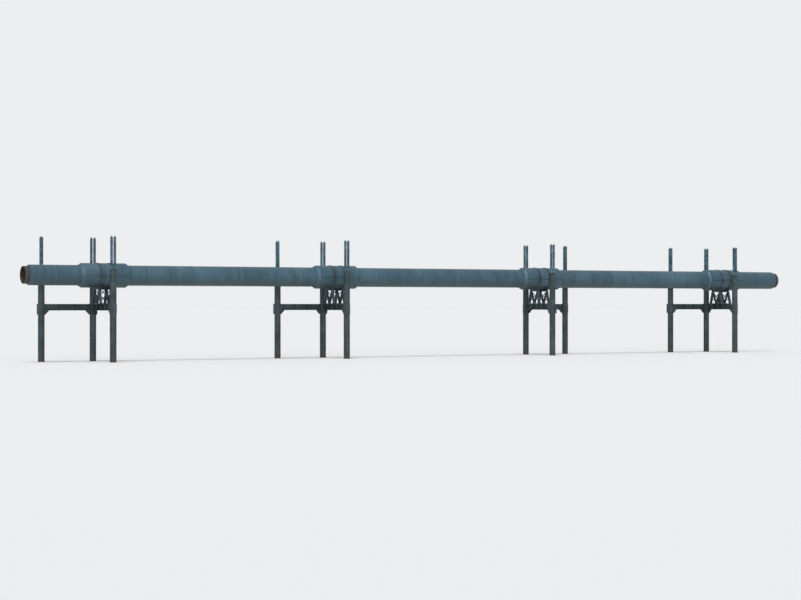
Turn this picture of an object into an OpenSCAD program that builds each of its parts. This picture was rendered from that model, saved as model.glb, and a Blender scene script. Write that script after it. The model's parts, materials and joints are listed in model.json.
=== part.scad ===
// Insulated pipe carried above the ground on four steel pile bents, at half size.
// Millimetres, Z up, level ground at Z = 0. The pipe runs along X and the origin lies under its middle.
// The near side is -Y. Supports are numbered 1 to 4 from the left end, which is -X.

/* [Run] */
// Distance between neighbouring supports
bay = 9150; // [8200:50:10000]
// Reach of the pipe past the middle of each end support
end_run = 2900; // [2700:50:3600]
// End toward which each bent's stay post stands: -1 left, 1 right
stay_sides = [-1, -1, 1, -1]; // [-1:2:1]
// Height of the pipe's centreline
pipe_level = 2988; // [2940:2:3100]
// Gap left between parts that fit round each other
fit_gap = 0.3; // [0.1:0.1:0.8]

/* [Carrier pipe] */
// Outside diameter of the steel pipe
pipe_od = 609.6; // [560:0.2:640]
// Wall of the steel pipe
pipe_wall = 7.2; // [6:0.1:12]
// Protective coating under the insulation
coat_t = 1.5; // [1:0.5:4]
// Bare steel left for welding at each end
bare_end = 160; // [120:5:240]
// Flat land left at the end of the weld bevel
bevel_land = 1.2; // [0.8:0.1:3]
// Slope of the weld bevel
bevel_angle = 37.5; // [30:0.5:45]

/* [Insulated jacket] */
// Thickness of the insulation with its sheet metal
jacket_t = 46; // [35:1:70]
// Spacing of the bands that hold the sheets
band_pitch = 1200; // [700:50:1600]
// Width of a band
band_w = 25; // [15:1:40]
// Height of a band above the sheet
band_t = 2; // [1:0.5:4]
// Length of the sloping closure at the jacket's bare ends
closure_l = 40; // [25:1:60]

/* [Clamp sleeve] */
// Length of the thick sleeve at each support
sleeve_l = 1850; // [1600:10:2200]
// Thickness of the sleeve round the pipe
sleeve_t = 118; // [95:1:140]
// Length of the sleeve's sloping shoulders
shoulder_l = 90; // [60:5:120]
// Length of the lip at each end of the sleeve
lip_l = 30; // [20:1:50]
// Height of the lip above the jacket
lip_t = 8; // [4:1:14]
// Reach of the bolted seam flange along each side
seam_reach = 22; // [14:1:30]
// Thickness of the bolted seam flange
seam_t = 12; // [8:1:18]

/* [Posts] */
// Outside diameter of a pile
post_od = 228.6; // [200:0.2:250]
// Wall of a pile
post_wall = 6.4; // [5:0.2:12]
// Height of a pile above the ground
post_h = 3200; // [3000:10:3400]
// Distance between the near and the far post
post_gauge = 1830; // [1780:10:2000]
// Distance from the far post to the stay post
stay_reach = 1900; // [1500:10:2200]
// Thickness of the cap plate
cap_t = 12; // [8:1:20]
// Overhang of the cap plate
cap_lip = 8; // [4:1:12]

/* [Radiators] */
// Distance between the two heat pipes on a post
radiator_pitch = 120; // [105:1:135]
// Diameter over the fins
radiator_od = 92; // [70:1:100]
// Length of the finned part
radiator_l = 1000; // [800:10:1200]
// Fins round one heat pipe
fin_count = 12; // [8:2:16]
// Thickness of a fin
fin_t = 4; // [2:0.5:6]
// Diameter of the heat pipe
stem_od = 44; // [34:1:52]
// Bare heat pipe between the cap plate and the fins
stem_h = 80; // [60:5:140]
// Diameter of the gland on the cap plate
gland_od = 72; // [58:1:88]
// Height of the gland
gland_h = 16; // [10:1:26]
// Height of the charging tip above the fins
tip_h = 46; // [30:1:70]
// Diameter of the charging tip
tip_od = 24; // [16:1:30]

/* [Beams] */
// Height of the beams' top face
beam_level = 2000; // [1900:10:2080]
// Depth of a beam
beam_d = 225; // [200:5:260]
// Width of a beam
beam_w = 150; // [130:5:170]
// Thickness of the web
web_t = 9; // [7:0.5:14]
// Thickness of the flanges
flange_t = 13; // [9:0.5:18]
// Fillet between web and flange
root_r = 9; // [5:0.5:13]
// Thickness of the end plates
end_plate_t = 12; // [8:1:18]
// Thickness of the web stiffeners
stiffener_t = 10; // [6:1:16]

/* [Post brackets] */
// Thickness of the collar round a post
collar_t = 10; // [8:1:16]
// Rise of the collar past the arm above and below
collar_rise = 8; // [4:1:14]
// Gap between the two halves of a collar
collar_split = 4; // [2:1:8]
// Reach of a bolting ear
ear_reach = 38; // [28:1:46]
// Thickness of a bolting ear
ear_t = 12; // [8:1:16]
// Distance from the collar to the beam's end
face_standoff = 14; // [10:1:30]
// Thickness of the face plate and of the shelf
shelf_t = 14; // [10:1:20]
// Reach of the shelf under the beam
shelf_reach = 110; // [80:5:150]
// Drop of the gussets under the shelf
gusset_h = 130; // [90:5:180]
// Thickness of gussets and cheeks
gusset_t = 10; // [8:1:16]

/* [Saddle] */
// Thickness of the slide plate on the crossbeam
slide_t = 10; // [6:1:16]
// Width of the slide plate along the pipe
slide_w = 190; // [175:5:230]
// Length of the slide plate along the crossbeam
slide_l = 1100; // [900:10:1200]
// Thickness of the shoe plate
shoe_t = 20; // [14:1:28]
// Length of the shoe plate along the pipe
shoe_l = 640; // [580:10:760]
// Width of the shoe plate across the pipe
shoe_w = 800; // [740:10:880]
// Distance between the two trestle frames
frame_gap = 440; // [380:10:460]
// Thickness of a trestle frame along the pipe
frame_t = 80; // [70:2:90]
// Width of a raking leg
leg_w = 72; // [56:2:84]
// Distance from the pipe's middle plane to the head of a leg
leg_head = 200; // [170:5:230]
// Edge of the shoe plate left outside the legs
foot_edge = 14; // [8:1:24]
// Width of the struts between the legs
strut_w = 36; // [26:1:46]
// Diameter of the cross bracing between the frames
brace_d = 30; // [20:1:38]
// Thickness of the cradle plate
cradle_t = 16; // [10:1:22]
// Length of the cradle plate along the pipe
cradle_l = 580; // [560:5:640]
// Half of the angle that the cradle plate wraps
cradle_half = 42; // [36:1:50]
// Depth of the rib under the cradle plate
rib_d = 56; // [40:2:70]
// Angle by which the rib stops short of the cradle plate's edge
rib_setback = 3; // [2:0.5:6]
// Width of a strap
strap_w = 70; // [50:2:70]
// Thickness of a strap
strap_t = 12; // [8:1:16]
// Reach of the strap's bolting lugs
lug_reach = 54; // [40:1:64]
// Thickness of a lug
lug_t = 14; // [10:1:20]
// Gap between the upper and the lower lug
lug_gap = 8; // [4:1:14]

/* [Hidden] */
$fn = 96;

steel = "dimgray";
galvanised = "slategray";
aluminium = "silver";

// Length past a face that a cut or a fused piece runs on.
over = 1;
supports = 4;

pipe_r = pipe_od / 2;
coat_r = pipe_r + coat_t;
lining_r = coat_r + fit_gap;
jacket_r = lining_r + jacket_t;
sleeve_r = lining_r + sleeve_t;
run_l = (supports - 1) * bay + 2 * end_run;

post_r = post_od / 2;
post_y = post_gauge / 2;
post_top = post_h + cap_t;

beam_bottom = beam_level - beam_d;
shelf_bottom = beam_bottom - shelf_t;
collar_r = post_r + fit_gap + collar_t;
collar_bottom = shelf_bottom - gusset_h;
collar_h = beam_level + collar_rise - collar_bottom;
face_x = collar_r + face_standoff;
crossbeam_l = post_gauge - 2 * face_x;
tie_l = stay_reach - 2 * face_x;

slide_top = beam_level + slide_t;
shoe_top = slide_top + shoe_t;
strap_r = sleeve_r + fit_gap;
cradle_r = strap_r + cradle_t;
leg_foot = shoe_w / 2 - foot_edge - leg_w / 2;
leg_head_z = pipe_level - sqrt(cradle_r * cradle_r - leg_head * leg_head);
leg_slope = (leg_foot - leg_head) / (leg_head_z - shoe_top);

// Place of support i along the pipe.
function support_x(i) = (i - (supports + 1) / 2) * bay;
// Place of support i's stay post along the pipe.
function stay_x(i) = support_x(i) + stay_sides[i - 1] * stay_reach;
// Distance of a leg's centreline from the pipe's middle plane at height z.
function leg_y(z) = leg_head + leg_slope * (leg_head_z - z);

// Turns a shape that stands along Z so that it lies along X.
module along_x() {
    rotate([0, 90, 0]) children();
}

// Extrudes an outline drawn in Y and Z, centred on X = 0.
module across_pipe(length) {
    translate([-length / 2, 0, 0]) rotate([90, 0, 90]) linear_extrude(length) children();
}

// Round bar from point a to point b.
module bar(a, b, d) {
    v = b - a;
    flat = norm([v[0], v[1]]);
    translate(a) rotate([0, atan2(flat, v[2]), atan2(v[1], v[0])]) cylinder(h = norm(v), d = d);
}

// Sector of a disc in Y and Z round the pipe's centre, half_angle each side of straight down.
module sector_below(r, half_angle) {
    reach = 2 * r;
    translate([0, pipe_level]) intersection() {
        circle(r = r);
        polygon([[0, 0], [-reach * tan(half_angle), -reach], [reach * tan(half_angle), -reach]]);
    }
}

// Disc in Y and Z round the pipe's centre.
module pipe_disc(r) {
    translate([0, pipe_level]) circle(r = r);
}

// Steel pipe with its coating cut back at both ends and weld bevels.
module carrier_pipe() {
    bore_r = pipe_r - pipe_wall;
    bevel_l = (pipe_wall - bevel_land) * tan(bevel_angle);
    half = run_l / 2;
    coat_end = half - bare_end;
    color(steel) translate([0, 0, pipe_level]) along_x() rotate_extrude() polygon([
        [bore_r, -half], [bore_r + bevel_land, -half], [pipe_r, -half + bevel_l],
        [pipe_r, -coat_end], [coat_r, -coat_end], [coat_r, coat_end], [pipe_r, coat_end],
        [pipe_r, half - bevel_l], [bore_r + bevel_land, half], [bore_r, half]]);
}

// Insulation and sheet metal from x0 to x1, with its bands and a sloping closure at a bare end.
module jacket_span(x0, x1, closed_left, closed_right) {
    length = x1 - x0;
    left = closed_left ? closure_l : 0;
    right = closed_right ? closure_l : 0;
    bands = floor(length / band_pitch);
    first = length / 2 - (bands - 1) / 2 * band_pitch;
    color(galvanised) translate([x0, 0, pipe_level]) along_x() rotate_extrude() {
        polygon([[lining_r, 0], [closed_left ? lining_r + band_t : jacket_r, 0], [jacket_r, left],
                 [jacket_r, length - right], [closed_right ? lining_r + band_t : jacket_r, length],
                 [lining_r, length]]);
        for (k = [0 : bands - 1])
            translate([jacket_r - over, first + k * band_pitch - band_w / 2]) square([band_t + over, band_w]);
    }
}

// Jacket span k runs between the sleeves of supports k - 1 and k, or out to a bare end.
module jacket(k) {
    jacket_end = run_l / 2 - bare_end;
    x0 = k == 1 ? -jacket_end : support_x(k - 1) + sleeve_l / 2;
    x1 = k == supports + 1 ? jacket_end : support_x(k) - sleeve_l / 2;
    jacket_span(x0, x1, k == 1, k == supports + 1);
}

// Thick insulated sleeve where the pipe is clamped, with sloping shoulders and bolted side seams.
module clamp_sleeve(i) {
    half = sleeve_l / 2;
    lip_r = jacket_r + lip_t;
    barrel = half - lip_l - shoulder_l;
    seam_start = frame_gap / 2 + frame_t / 2 + lip_l;
    inner_seam = frame_gap - frame_t - 2 * lip_l;
    color(galvanised) translate([support_x(i), 0, pipe_level]) {
        along_x() rotate_extrude() polygon([
            [lining_r, -half], [lip_r, -half], [lip_r, -half + lip_l], [sleeve_r, -barrel],
            [sleeve_r, barrel], [lip_r, half - lip_l], [lip_r, half], [lining_r, half]]);
        for (side = [-1, 1]) translate([0, side * (sleeve_r + (seam_reach - over) / 2), 0]) {
            cube([inner_seam, seam_reach + over, seam_t], center = true);
            for (end = [-1, 1]) translate([end * (seam_start + barrel) / 2, 0, 0])
                cube([barrel - seam_start, seam_reach + over, seam_t], center = true);
        }
    }
}

// Outline of one trestle frame: raking legs, struts that meet in the middle and the rib under the cradle.
module frame_outline() {
    rib_bottom = pipe_level - cradle_r - rib_d;
    strut_head = leg_y(rib_bottom);
    leg_end = leg_head_z + leg_w;
    difference() {
        union() {
            for (side = [-1, 1]) polygon([
                [side * (leg_foot - leg_w / 2), shoe_top], [side * (leg_foot + leg_w / 2), shoe_top],
                [side * (leg_y(leg_end) + leg_w / 2), leg_end], [side * (leg_y(leg_end) - leg_w / 2), leg_end]]);
            polygon([
                [-strut_w, shoe_top], [strut_w, shoe_top],
                [strut_head + strut_w / 2, rib_bottom + strut_w], [strut_head - strut_w / 2, rib_bottom + strut_w],
                [0, shoe_top + strut_w],
                [strut_w / 2 - strut_head, rib_bottom + strut_w], [-strut_head - strut_w / 2, rib_bottom + strut_w]]);
            sector_below(cradle_r + rib_d, cradle_half - rib_setback);
        }
        pipe_disc(cradle_r - over);
    }
}

// Lower half of a strap with its two lugs.
module lower_strap() {
    lug_r = strap_r + strap_t + lug_reach;
    difference() {
        union() {
            pipe_disc(strap_r + strap_t);
            translate([-lug_r, pipe_level - lug_gap / 2 - lug_t]) square([2 * lug_r, lug_t]);
        }
        pipe_disc(strap_r);
        translate([-lug_r, pipe_level - lug_gap / 2]) square([2 * lug_r, 2 * lug_r]);
    }
}

// Upper half of a strap, the lower one mirrored about the pipe's centreline.
module upper_strap() {
    translate([0, 2 * pipe_level]) mirror([0, 1]) lower_strap();
}

// Shoe plate, two trestle frames, cradle plate and cross bracing, with the two straps that close over the sleeve.
module saddle(i) {
    brace_low = shoe_top + leg_w;
    brace_high = leg_head_z - leg_w;
    half = frame_gap / 2;
    color(steel) translate([support_x(i), 0, 0]) {
        translate([-shoe_l / 2, -shoe_w / 2, slide_top]) cube([shoe_l, shoe_w, shoe_t]);
        across_pipe(cradle_l) difference() {
            sector_below(cradle_r, cradle_half);
            pipe_disc(strap_r);
        }
        translate([0, 0, pipe_level - cradle_r - (rib_d - over) / 2])
            cube([frame_gap, stiffener_t, rib_d + over], center = true);
        for (end = [-1, 1]) translate([end * half, 0, 0]) {
            across_pipe(frame_t) frame_outline();
            across_pipe(strap_w) lower_strap();
            across_pipe(strap_w) upper_strap();
        }
        for (side = [-1, 1], end = [-1, 1])
            bar([-end * half, side * leg_y(brace_low), brace_low],
                [end * half, side * leg_y(brace_high), brace_high], brace_d);
    }
}

// Low-friction plate on top of each crossbeam, on which the shoe slides.
module slide_plates() {
    color(aluminium) for (i = [1 : supports])
        translate([support_x(i) - slide_w / 2, -slide_l / 2, beam_level]) cube([slide_w, slide_l, slide_t]);
}

// Rolled I section in X and Z, its top at Z = 0.
module i_section() {
    translate([-beam_w / 2, -flange_t]) square([beam_w, flange_t]);
    translate([-beam_w / 2, -beam_d]) square([beam_w, flange_t]);
    translate([-web_t / 2, -beam_d]) square([web_t, beam_d]);
    for (side = [0, 1], level = [0, 1]) mirror([side, 0])
        translate([web_t / 2, level == 0 ? -flange_t : flange_t - beam_d]) mirror([0, 1 - level]) difference() {
            square(root_r);
            translate([root_r, root_r]) circle(r = root_r);
        }
}

// Beam of the given length along Y with end plates and web stiffeners at the stated places, top at Z = 0.
module beam(length, stiffener_places) {
    translate([0, length / 2, 0]) rotate([90, 0, 0]) linear_extrude(length) i_section();
    for (end = [-1, 1]) translate([0, end * (length - end_plate_t) / 2, -beam_d / 2])
        cube([beam_w, end_plate_t, beam_d], center = true);
    for (y = stiffener_places) translate([0, y, -beam_d / 2])
        cube([beam_w - 2 * over, stiffener_t, beam_d - flange_t], center = true);
}

// Crossbeam between the near and the far post, stiffened under the shoe.
module crossbeam(i) {
    color(steel) translate([support_x(i), 0, beam_level]) beam(crossbeam_l, [-leg_foot, 0, leg_foot]);
}

// Tie beam between the far post and the stay post.
module tie_beam(i) {
    color(steel) translate([(support_x(i) + stay_x(i)) / 2, post_y, beam_level]) rotate([0, 0, 90])
        beam(tie_l, [-tie_l / 6, tie_l / 6]);
}

// One arm of a bracket, pointing along X: shelf, face plate, cheeks and gussets.
module bracket_arm() {
    shelf_end = face_x + shelf_reach;
    plate_x = face_x - shelf_t;
    toe_z = shelf_bottom - gusset_t;
    foot_z = collar_bottom + collar_rise;
    translate([0, -beam_w / 2, shelf_bottom]) cube([shelf_end, beam_w, shelf_t]);
    translate([plate_x, -beam_w / 2, beam_bottom - over]) cube([shelf_t, beam_w, beam_d + over]);
    for (side = [-1, 1]) {
        cheek_y = side * (beam_w / 2 - gusset_t) - gusset_t / 2;
        translate([0, cheek_y, beam_bottom - over]) cube([plate_x + over, gusset_t, beam_d - gusset_t]);
        translate([0, cheek_y + gusset_t, 0]) rotate([90, 0, 0]) linear_extrude(gusset_t) polygon([
            [0, shelf_bottom + over], [shelf_end - gusset_t, shelf_bottom + over], [shelf_end - gusset_t, toe_z],
            [collar_r + gusset_t, foot_z], [0, foot_z]]);
    }
}

// Outline of a split collar with two pairs of bolting ears on the line at ear_angle.
module collar_outline(ear_angle) {
    ear_l = collar_r + ear_reach;
    ear_w = 2 * ear_t + collar_split;
    difference() {
        union() {
            circle(r = collar_r);
            rotate(ear_angle) square([2 * ear_l, ear_w], center = true);
        }
        circle(r = post_r + fit_gap);
        rotate(ear_angle) square([2 * (ear_l + over), collar_split], center = true);
    }
}

// Split collar round a post with an arm at each stated angle.
module bracket(arm_angles, ear_angle) {
    translate([0, 0, collar_bottom]) linear_extrude(collar_h) collar_outline(ear_angle);
    difference() {
        for (angle = arm_angles) rotate([0, 0, angle]) bracket_arm();
        translate([0, 0, collar_bottom]) cylinder(h = collar_h, r = collar_r - collar_t / 2);
    }
}

// The three split brackets that carry a bent's crossbeam and tie beam.
module post_brackets(i) {
    s = stay_sides[i - 1];
    to_stay = s > 0 ? 0 : 180;
    color(steel) {
        translate([support_x(i), -post_y, 0]) bracket([90], 90 + s * 45);
        translate([support_x(i), post_y, 0]) bracket([-90, to_stay], -90 - s * 45);
        translate([stay_x(i), post_y, 0]) bracket([180 - to_stay], s * 45);
    }
}

// Open steel pile with a welded cap plate.
module pile() {
    color(steel) difference() {
        union() {
            cylinder(h = post_h, r = post_r);
            translate([0, 0, post_h]) cylinder(h = cap_t, r = post_r + cap_lip);
        }
        translate([0, 0, -over]) cylinder(h = post_h + over, r = post_r - post_wall);
    }
}

module near_post(i) {
    translate([support_x(i), -post_y, 0]) pile();
}

module far_post(i) {
    translate([support_x(i), post_y, 0]) pile();
}

module stay_post(i) {
    translate([stay_x(i), post_y, 0]) pile();
}

// Finned head of one heat pipe, standing on the cap plate.
module radiator() {
    fins_z = post_top + stem_h;
    translate([0, 0, post_top]) cylinder(h = gland_h, d = gland_od);
    translate([0, 0, post_top]) cylinder(h = stem_h + radiator_l + tip_h / 2, d = stem_od);
    translate([0, 0, fins_z]) linear_extrude(radiator_l) for (k = [0 : fin_count / 2 - 1])
        rotate(k * 360 / fin_count) square([radiator_od, fin_t], center = true);
    translate([0, 0, fins_z + radiator_l]) cylinder(h = tip_h, d = tip_od);
}

// The two radiators of a post, set along the line at the given angle.
module radiator_pair(angle) {
    for (side = [-1, 1]) rotate([0, 0, angle]) translate([side * radiator_pitch / 2, 0, 0]) radiator();
}

module radiators(i) {
    color(aluminium) {
        for (side = [-1, 1]) translate([support_x(i), side * post_y, 0]) radiator_pair(0);
        translate([stay_x(i), post_y, 0]) radiator_pair(90);
    }
}

carrier_pipe();
jacket(1);  // jacket_1
jacket(2);  // jacket_2
jacket(3);  // jacket_3
jacket(4);  // jacket_4
jacket(5);  // jacket_5
clamp_sleeve(1);  // clamp_sleeve_1
clamp_sleeve(2);  // clamp_sleeve_2
clamp_sleeve(3);  // clamp_sleeve_3
clamp_sleeve(4);  // clamp_sleeve_4
saddle(1);  // saddle_1
saddle(2);  // saddle_2
saddle(3);  // saddle_3
saddle(4);  // saddle_4
slide_plates();
crossbeam(1);  // crossbeam_1
crossbeam(2);  // crossbeam_2
crossbeam(3);  // crossbeam_3
crossbeam(4);  // crossbeam_4
tie_beam(1);  // tie_beam_1
tie_beam(2);  // tie_beam_2
tie_beam(3);  // tie_beam_3
tie_beam(4);  // tie_beam_4
post_brackets(1);  // post_brackets_1
post_brackets(2);  // post_brackets_2
post_brackets(3);  // post_brackets_3
post_brackets(4);  // post_brackets_4
near_post(1);  // near_post_1
near_post(2);  // near_post_2
near_post(3);  // near_post_3
near_post(4);  // near_post_4
far_post(1);  // far_post_1
far_post(2);  // far_post_2
far_post(3);  // far_post_3
far_post(4);  // far_post_4
stay_post(1);  // stay_post_1
stay_post(2);  // stay_post_2
stay_post(3);  // stay_post_3
stay_post(4);  // stay_post_4
radiators(1);  // radiators_1
radiators(2);  // radiators_2
radiators(3);  // radiators_3
radiators(4);  // radiators_4
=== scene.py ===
"""Looks of an insulated pipe on steel pile bents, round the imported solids.

Metres, Z up, at half of the real size.
"""

import json
import math

import bpy
from mathutils import Matrix, Vector


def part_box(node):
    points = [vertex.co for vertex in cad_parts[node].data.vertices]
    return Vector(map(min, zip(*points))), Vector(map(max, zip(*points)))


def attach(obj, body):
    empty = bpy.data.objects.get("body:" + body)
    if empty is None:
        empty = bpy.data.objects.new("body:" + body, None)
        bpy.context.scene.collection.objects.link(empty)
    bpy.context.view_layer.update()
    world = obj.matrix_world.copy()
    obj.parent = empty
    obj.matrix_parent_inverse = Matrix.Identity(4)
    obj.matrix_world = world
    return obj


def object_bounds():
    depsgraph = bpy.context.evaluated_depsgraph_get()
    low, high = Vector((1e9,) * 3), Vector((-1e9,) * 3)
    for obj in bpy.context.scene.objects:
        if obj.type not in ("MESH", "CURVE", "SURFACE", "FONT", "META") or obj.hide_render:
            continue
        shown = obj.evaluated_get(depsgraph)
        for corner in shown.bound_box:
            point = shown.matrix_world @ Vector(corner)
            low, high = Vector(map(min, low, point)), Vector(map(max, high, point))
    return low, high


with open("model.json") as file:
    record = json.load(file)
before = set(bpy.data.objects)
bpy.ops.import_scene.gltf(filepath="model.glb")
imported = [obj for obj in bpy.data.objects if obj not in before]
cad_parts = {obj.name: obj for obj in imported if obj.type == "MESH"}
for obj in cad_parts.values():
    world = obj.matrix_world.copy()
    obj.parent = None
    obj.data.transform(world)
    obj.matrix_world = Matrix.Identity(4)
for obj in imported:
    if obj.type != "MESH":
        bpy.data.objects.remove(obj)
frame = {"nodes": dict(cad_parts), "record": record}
cad_low, cad_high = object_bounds()

MM = 0.001
SUPPORTS = (1, 2, 3, 4)
JACKETS = (1, 2, 3, 4, 5)

# Sizes that the solids' boxes don't give.
FIT_GAP = 0.3 * MM
PIPE_R = 304.8 * MM
PIPE_BORE_R = 297.6 * MM
PIPE_BEVEL = 5 * MM
BARE_END = 160 * MM
BAND_PITCH = 1200 * MM
BAND_T = 2 * MM
CLOSURE_L = 40 * MM
LIP_L = 30 * MM
LIP_R = 360.6 * MM
SHOULDER_L = 90 * MM
SEAM_T = 12 * MM
SEAM_REACH = 22 * MM
CAP_T = 12 * MM
CAP_LIP = 8 * MM
COLLAR_T = 10 * MM
COLLAR_RISE = 8 * MM
COLLAR_SPLIT = 4 * MM
EAR_T = 12 * MM
EAR_REACH = 38 * MM
FACE_STANDOFF = 14 * MM
SHELF_T = 14 * MM
SHELF_REACH = 110 * MM
GUSSET_T = 10 * MM
WEB_T = 9 * MM
FLANGE_T = 13 * MM
ROOT_R = 9 * MM
END_PLATE_T = 12 * MM
STIFFENER_T = 10 * MM
FRAME_GAP = 440 * MM
FRAME_T = 80 * MM
LEG_W = 72 * MM
LEG_FOOT = 350 * MM
LEG_HEAD = 200 * MM
STRUT_W = 36 * MM
BRACE_R = 15 * MM
CRADLE_T = 16 * MM
CRADLE_HALF_ANGLE = 42
STRAP_T = 12 * MM
STRAP_W = 70 * MM
LUG_REACH = 54 * MM
LUG_T = 14 * MM
LUG_GAP = 8 * MM
SHOE_T = 20 * MM
STEM_H = 80 * MM
STEM_R = 22 * MM
GLAND_H = 16 * MM
GLAND_R = 36 * MM
RADIATOR_PITCH = 120 * MM
TIP_H = 46 * MM


def middle(node):
    """Centre of a solid's box."""
    low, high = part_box(node)
    return (low + high) / 2


def lengths(node):
    """Side lengths of a solid's box."""
    low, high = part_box(node)
    return high - low


PIPE_Z = middle("carrier_pipe").z
RUN_HALF = lengths("carrier_pipe").x / 2
JACKET_R = lengths("jacket_2").z / 2 - BAND_T
SLEEVE_R = lengths("clamp_sleeve_1").z / 2
SLEEVE_L = lengths("clamp_sleeve_1").x
BARREL_HALF = SLEEVE_L / 2 - LIP_L - SHOULDER_L
STRAP_R = SLEEVE_R + FIT_GAP
POST_R = lengths("near_post_1").x / 2 - CAP_LIP
POST_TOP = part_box("near_post_1")[1].z
COLLAR_R = POST_R + FIT_GAP + COLLAR_T
COLLAR_LOW, COLLAR_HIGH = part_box("post_brackets_1")[0].z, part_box("post_brackets_1")[1].z
BEAM_BOTTOM, BEAM_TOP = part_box("crossbeam_1")[0].z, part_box("crossbeam_1")[1].z
BEAM_W = lengths("crossbeam_1").x
SHELF_LOW = BEAM_BOTTOM - SHELF_T
SHOE_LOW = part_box("saddle_1")[0].z
SHOE_TOP = SHOE_LOW + SHOE_T
RADIATOR_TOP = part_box("radiators_1")[1].z
FACE_X = COLLAR_R + FACE_STANDOFF
PLATE_X = FACE_X + END_PLATE_T
BAY = middle("near_post_2").x - middle("near_post_1").x


def support_x(i):
    """Place of a support along the pipe."""
    return middle(f"near_post_{i}").x


def posts():
    """Every post: its name, its foot, and the directions of its beams and its collar's ears, in degrees."""
    for i in SUPPORTS:
        near, far, stay = (middle(f"{name}_post_{i}") for name in ("near", "far", "stay"))
        side = math.copysign(1, stay.x - far.x)
        to_stay = 0 if side > 0 else 180
        # The ears stand 45 degrees off every beam.
        for name, place, arms, ears in (
                ("near", near, (90,), 90 + side * 45),
                ("far", far, (-90, to_stay), -90 - side * 45),
                ("stay", stay, (180 - to_stay,), side * 45)):
            yield name, Vector((place.x, place.y, 0)), arms, ears


def direction(degrees):
    """Level direction, and the level direction square to it."""
    angle = math.radians(degrees)
    out = Vector((math.cos(angle), math.sin(angle), 0))
    return out, Vector((-out.y, out.x, 0))


UP = Vector((0, 0, 1))


# Finishes


def linear(hex_colour):
    """sRGB hex to linear RGBA."""
    levels = [int(hex_colour[k:k + 2], 16) / 255 for k in (1, 3, 5)]
    return [v / 12.92 if v <= 0.04045 else ((v + 0.055) / 1.055) ** 2.4 for v in levels] + [1.0]


def add(tree, kind, inputs, **settings):
    """Adds a node with its settings, and sets each input or links it to a socket."""
    node = tree.nodes.new(kind)
    for name, value in settings.items():
        setattr(node, name, value)
    for name, value in inputs.items():
        if isinstance(value, bpy.types.NodeSocket):
            tree.links.new(value, node.inputs[name])
        else:
            node.inputs[name].default_value = linear(value) if isinstance(value, str) else value
    return node


def coat(tree, under, over, where, starts, full, amount=1.0):
    """Lays one colour over another, from where a pattern starts to where it is full.

    The colours are hex or sockets, and amount is the share of the upper one where the pattern is full.
    """
    share = add(tree, "ShaderNodeMapRange", {
        "Value": where, "From Min": starts, "From Max": full, "To Max": amount},
        interpolation_type="SMOOTHSTEP")
    # Inputs 6 and 7 and output 2 are the colours of a Mix node.
    return add(tree, "ShaderNodeMix", {0: share.outputs[0], 6: under, 7: over}, data_type="RGBA").outputs[2]


def one_over(*sizes):
    """Scales of a pattern along X, Y and Z, from its sizes in mm."""
    return [1 / (size * MM) for size in sizes]


def finish_of(name, metallic, **also):
    """A new material: itself, its node tree, its shader, and a point's place on the object in metres.

    Values in also go to the shader's inputs of the same names.
    """
    material = bpy.data.materials.new(name)
    material.use_nodes = True
    tree = material.node_tree
    shader = tree.nodes["Principled BSDF"]
    shader.inputs["Metallic"].default_value = metallic
    for socket, value in also.items():
        shader.inputs[socket].default_value = value
    return material, tree, shader, add(tree, "ShaderNodeTexCoord", {}).outputs["Object"]


def surface(tree, shader, colour, sheen_map, rough_low, rough_high, height, depth, **base):
    """Sets the colour, a roughness that follows a pattern, and a relief of the given depth in metres.

    A normal given in base is the one that the relief stands on.
    """
    rough = add(tree, "ShaderNodeMapRange", {
        "Value": sheen_map, "From Min": 0.3, "From Max": 0.7, "To Min": rough_low, "To Max": rough_high})
    bump = add(tree, "ShaderNodeBump", {"Height": height, "Distance": depth, "Strength": 1.0, **base})
    tree.links.new(colour, shader.inputs["Base Color"])
    tree.links.new(rough.outputs[0], shader.inputs["Roughness"])
    tree.links.new(bump.outputs[0], shader.inputs["Normal"])


# Colours that lie over a finish.
BAND_STRIP = "#778994"
UNDERSIDE_DUST_AND_REFLECTION = "#48534f"
# Greener grey of undersides: road dust, and a painted reflection of green ground below.
DRY_DUST = "#737876"
DARK_WASH = "#20282b"
RUST = "#4c3e35"


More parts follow.
